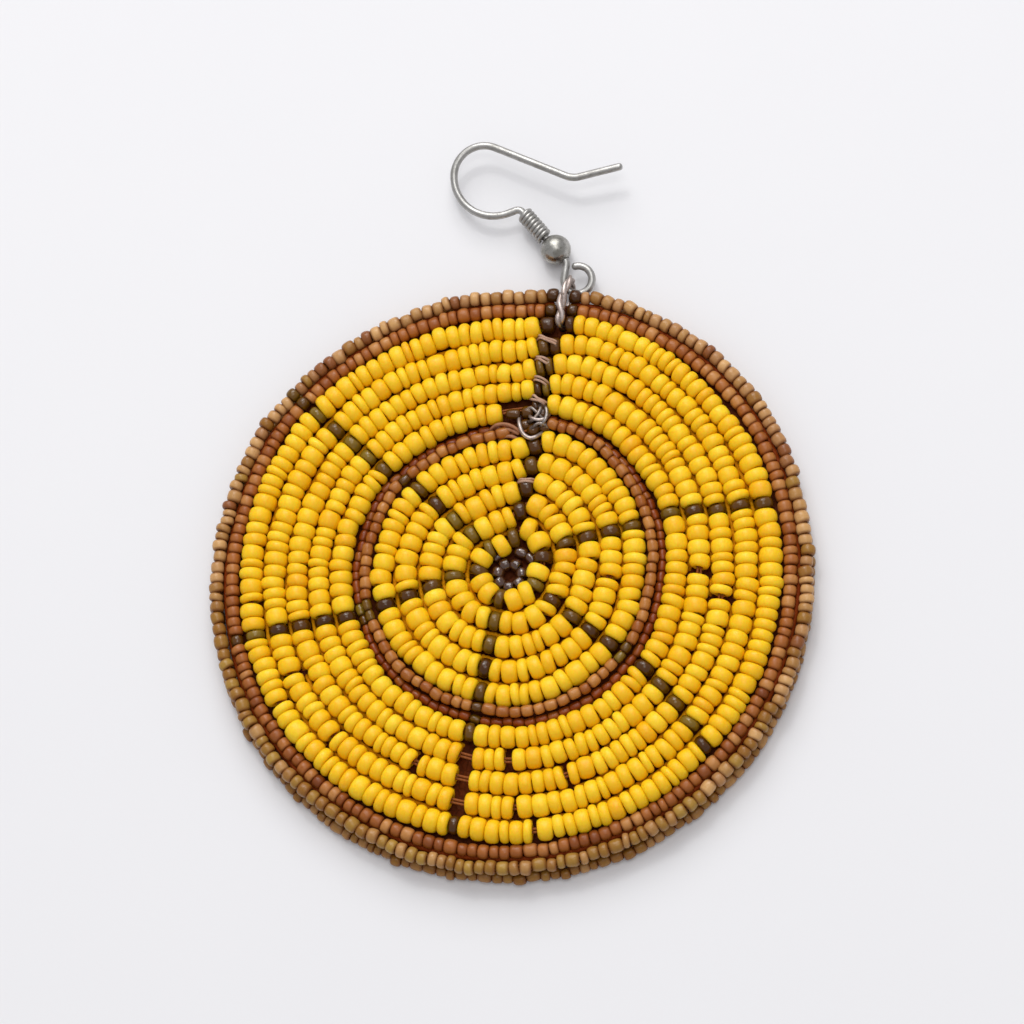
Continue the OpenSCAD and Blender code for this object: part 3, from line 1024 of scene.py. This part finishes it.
def crossing_strands():
    """Bare strands that step across the top spoke, from the end of one row to the start of another."""
    rng = chance("crossing strands")
    low, high = CROSSING_HEIGHTS
    parts = []
    for index in CROSSING_ROWS:
        row = f"yellow_row_{index}"
        radius = ROWS[row][0]
        middle = spoke_angles(radius)["top"]
        half = math.degrees(TOP_SPOKE[index][0] / 2 / radius)
        left = row_radius(row, middle - half) + CROSSING_ENDS[0]
        right = row_radius(row, middle + half) + CROSSING_ENDS[1]
        for side in (-0.5, 0.5):
            path = []
            for share, rise in CROSSING_SHAPE:
                angle = middle - half + 2 * half * share + rng.normal() * 0.12
                r = left + (right - left) * share + CROSSING_APART * side + rng.normal() * 0.06
                path.append(on_disc(r, angle, low + (high - low) * rise))
            parts.append(tube(curve_through(path), CROSSING_D / 2 * (0.85 + 0.3 * rng.random()), 8))
    piece("crossing_strands", joined(parts), "pale_strand")


def couching_stitches():
    """Small stitches that hold each row's thread down, and show on the leather's back."""
    rng = chance("couching stitches")
    parts = []
    for index in range(1, YELLOW_ROWS + 1):
        radius = ROWS[f"yellow_row_{index}"][0]
        count = max(6, round(2 * math.pi * radius / COUCHING_SPACING))
        for k in range(count):
            angle = (k + 0.5 + 0.2 * rng.normal()) * 360.0 / count
            if not COUCHING_CLEAR <= angle % 360 <= 360 - COUCHING_CLEAR:
                continue
            reach = math.degrees((COUCHING_REACH + 0.15 * rng.random()) / radius)
            parts.append(thread([(radius + 0.1 * rng.normal() * share, angle + reach * share, height)
                                 for share, height in COUCHING_SHAPE], STITCH_D))
    piece("couching_stitches", joined(parts), "thread")


def edge_stitches():
    """Stitches that carry the edging beads round the leather's rim."""
    rng = chance("edge stitches")
    opening, half = EDGE_OPENING
    parts = []
    for k in range(EDGE_STITCHES):
        angle = (k + 0.5 + 0.12 * rng.normal()) * 360.0 / EDGE_STITCHES
        if abs((angle - opening + 180) % 360 - 180) < half:
            continue
        lean = math.degrees(0.006 + 0.004 * rng.normal())
        start = EDGE_START + 0.2 * rng.normal()
        path = [(start, 0.16, 0.0), (start + 0.25, 0.07, 0.1)]
        path += [(LEATHER_R + out, height, share) for out, height, share in EDGE_SHAPE]
        parts.append(thread([(r, angle + lean * share, height) for r, height, share in path], STITCH_D))
    piece("edge_stitches", joined(parts), "thread")


# Wire


def turned(*turns):
    """Turns one after another, each an angle and an axis."""
    matrix = Matrix.Identity(4)
    for angle, axis in turns:
        matrix = matrix @ Matrix.Rotation(math.radians(angle), 4, axis)
    return matrix


def on_shank(points):
    """Points whose X runs up the shank from the ball's centre, put in place."""
    turn = turned((-WIRE_ROLL, "Y"), (WIRE_LIFT, "X"), (SHANK_ANGLE, "Z"))
    return np.asarray(points) @ np.array(turn.to_3x3()).T + BALL_CENTRE


def bent_path(bends, heading=0.0):
    """Points along a wire that starts at the origin and follows a bend table."""
    x = y = 0.0
    a = math.radians(heading)
    points = [(x, y, 0.0)]
    for run, bend_r, turn in bends:
        count = max(1, round(run / STRAIGHT_STEP))
        moves = [(run / count, 0.0)] * count
        if turn:
            count = max(6, round(math.radians(abs(turn)) * bend_r / BEND_STEP))
            small = math.radians(turn) / count
            moves += [(2 * bend_r * math.sin(abs(small) / 2), small)] * count
        for length, small in moves:
            x += length * math.cos(a + small / 2)
            y += length * math.sin(a + small / 2)
            a += small
            points.append((x, y, 0.0))
    return points


def ear_wire():
    """The bent wire, from its eye through the ball to its free end."""
    path = bent_path(EYE_BENDS, 180.0)[::-1] + bent_path(HOOK_BENDS)[1:]
    wire = tube(on_shank(path), EAR_WIRE_D / 2, 20)
    piece("bent_ear_wire", wire, "ear_wire", ["ear_wire"])


def hook_ball():
    """A drilled ball with softened edges round its hole."""
    r, bore = BALL_D / 2, BALL_BORE / 2
    mouth = math.degrees(math.asin((bore + 0.1) / r))
    arc = [(r * math.sin(a), -r * math.cos(a)) for a in np.radians(np.linspace(mouth, 180 - mouth, 26))]
    end = math.sqrt(r * r - bore * bore)
    lip = [(bore + 0.03, end - 0.02), (bore, end - 0.12)]
    outline = [(x, -height) for x, height in reversed(lip)] + arc + lip
    points, faces = along_x(lathe(outline, 40))
    piece("drilled_ball", (on_shank(points), faces), "ball", ["hook_ball"])


def hook_coil():
    """The thin wire wound round the shank."""
    r = (BALL_BORE + COIL_WIRE_D) / 2
    start = COIL_START + COIL_WIRE_D / 2
    turns = COIL_TURNS - 0.15
    path = []
    for t in np.linspace(0, turns, round(turns * 26)):
        a = 2 * math.pi * t
        path.append((start + t * COIL_PITCH * (COIL_TURNS - 1) / turns, r * math.cos(a), r * math.sin(a)))
    piece("wound_coil", tube(on_shank(path), COIL_WIRE_D / 2), "ear_wire", ["hook_coil"])


def rounded_loop(corners, step=0.06):
    """Points round a closed path whose square corners are rounded."""
    flat = [Vector((y, z)) for y, z, _ in corners]
    points = []
    for k, here in enumerate(flat):
        bend_r = corners[k][2]
        to_last = (flat[k - 1] - here).normalized()
        to_next = (flat[(k + 1) % len(flat)] - here).normalized()
        middle = here + (to_last + to_next) * bend_r
        for t in np.linspace(0, math.pi / 2, 9):
            points.append(middle - to_next * bend_r * math.cos(t) - to_last * bend_r * math.sin(t))
    path = []
    for k, p in enumerate(points):
        q = points[(k + 1) % len(points)]
        count = max(1, round((q - p).length / step))
        path.extend(p.lerp(q, i / count) for i in range(count))
    return path


def hanger():
    """Two thin wires twisted together into the closed loop that holds the ear wire's eye."""
    path = rounded_loop(HANGER_CORNERS)
    count = len(path)
    lengths = np.cumsum([0.0] + [(path[(k + 1) % count] - path[k]).length for k in range(count)])
    twists = round(lengths[-1] / HANGER_TWIST)
    inner_y, outer_y = HANGER_CORNERS[0][0], HANGER_CORNERS[1][0]
    low_z, high_z = HANGER_CORNERS[0][1], HANGER_CORNERS[2][1]
    thin, thick = HANGER_ROPE_D
    parts = []
    for ply in (0.0, math.pi):
        strand, radii = [], []
        for k, p in enumerate(path):
            along = (path[(k + 1) % count] - path[k - 1]).normalized()
            out = Vector((along.y, -along.x))
            a = ply + 2 * math.pi * twists * lengths[k] / lengths[-1]
            up = max(0.0, (p.y - (low_z + high_z) / 2) / (high_z - low_z) * 2)
            up *= min(1.0, (outer_y - p.x) / HANGER_THIN)
            rope_r = (thin + (thick - thin) * up) / 2
            radii.append(rope_r * HANGER_PLY)
            off = rope_r - radii[-1]
            q = p + out * off * math.cos(a)
            bow = max(HANGER_BOW_SHARE, math.sin(math.pi * (p.x - inner_y) / (outer_y - inner_y)))
            strand.append((HANGER_X - HANGER_BOW * up * bow + off * math.sin(a), q.x, q.y))
        parts.append(tube(strand, radii, closed=True))
    piece("twisted_hanger", joined(parts), "hanger", ["hanger_loop"])


def knot():
    """The tangle of wire, bare strands and dark beads where the top spoke crosses the ring."""
    # The bright wires are painted highlight on the tangle
    for name, finish in (("knot_wires", "knot_wire"), ("knot_bright_wires", "hanger")):
        wires = [tube(curve_through(line), wire_d / 2, 10)
                 for wire_finish, wire_d, *line in KNOT_WIRES if wire_finish == finish]
        piece(name, joined(wires), finish)
    strands = [tube(curve_through(line), KNOT_STRAND_D / 2, 8) for line in KNOT_STRANDS]
    piece("knot_strands", joined(strands), "bare_strand")
    rng = chance("knot")
    beads = [[*middle, *along, length, width, 0.0, 0.6 * rng.random()]
             for middle, along, length, width in KNOT_BEADS]
    make_beads("knot_beads", beads, "dark")


# Camera, floor and light

SENSOR = 36.0
CAMERA_DISTANCE = 370.0
FRAME_WIDTH = 99.84
AIM = (-1.416, 6.922, 0.0)
# Turns round the vertical, off it, and round the view
CAMERA_TURNS = (36.4, 18.0, -27.0)
FLOOR_HALF = 3000.0
FLOOR_HEIGHT = -0.02
SKY = (0.97, 0.97, 1.0, 1.0)
SKY_STRENGTH = 0.53
# Soft lights: turns round the vertical and off it, distance, width, watts
LIGHTS = {
    "key": (196.0, 44.0, 900.0, 800.0, 5.0),
    "glint": (200.0, 36.0, 900.0, 120.0, 0.8),
    "overhead": (120.0, 8.0, 1000.0, 500.0, 1.7),
}


def aimed(made, azimuth, tilt, roll, distance):
    """Puts something at a distance from the middle of the view, looking at it."""
    turn = turned((azimuth, "Z"), (tilt, "X"), (roll, "Z"))
    back = turn.to_3x3() @ Vector((0.0, 0.0, distance * MM))
    made.matrix_world = Matrix.Translation(Vector(AIM) * MM + back) @ turn


def camera():
    data = bpy.data.cameras.new("camera")
    data.sensor_width = SENSOR
    data.lens = SENSOR * CAMERA_DISTANCE / FRAME_WIDTH
    data.clip_start = 0.01
    made = in_scene("camera", data)
    aimed(made, *CAMERA_TURNS, CAMERA_DISTANCE)
    bpy.context.scene.camera = made


def softbox(name, azimuth, tilt, distance, width, power):
    data = bpy.data.lights.new(name, "AREA")
    data.shape = "DISK"
    data.size = width * MM
    data.energy = power
    aimed(in_scene(name, data), azimuth, tilt, 0.0, distance)


def studio():
    half, z = FLOOR_HALF, FLOOR_HEIGHT
    corners = [(-half, -half, z), (half, -half, z), (half, half, z), (-half, half, z)]
    mesh = mesh_of("studio_floor", (corners, [(0, 1, 2, 3)]))
    mesh.materials.append(FINISHES["floor"])
    in_scene("studio_floor", mesh)
    world = bpy.data.worlds.new("studio")
    world.use_nodes = True
    sky = world.node_tree.nodes["Background"]
    sky.inputs["Color"].default_value = SKY
    sky.inputs["Strength"].default_value = SKY_STRENGTH
    bpy.context.scene.world = world
    for name, values in LIGHTS.items():
        softbox(name, *values)
    bpy.context.scene.view_settings.view_transform = "Standard"


camera()
studio()
leather_disc()
bead_rows()
centre_beads()
spoke_beads()
row_strings()
couching_threads()
rim_thread()
crossing_strands()
couching_stitches()
edge_stitches()
ear_wire()
hook_ball()
hook_coil()
hanger()
knot()
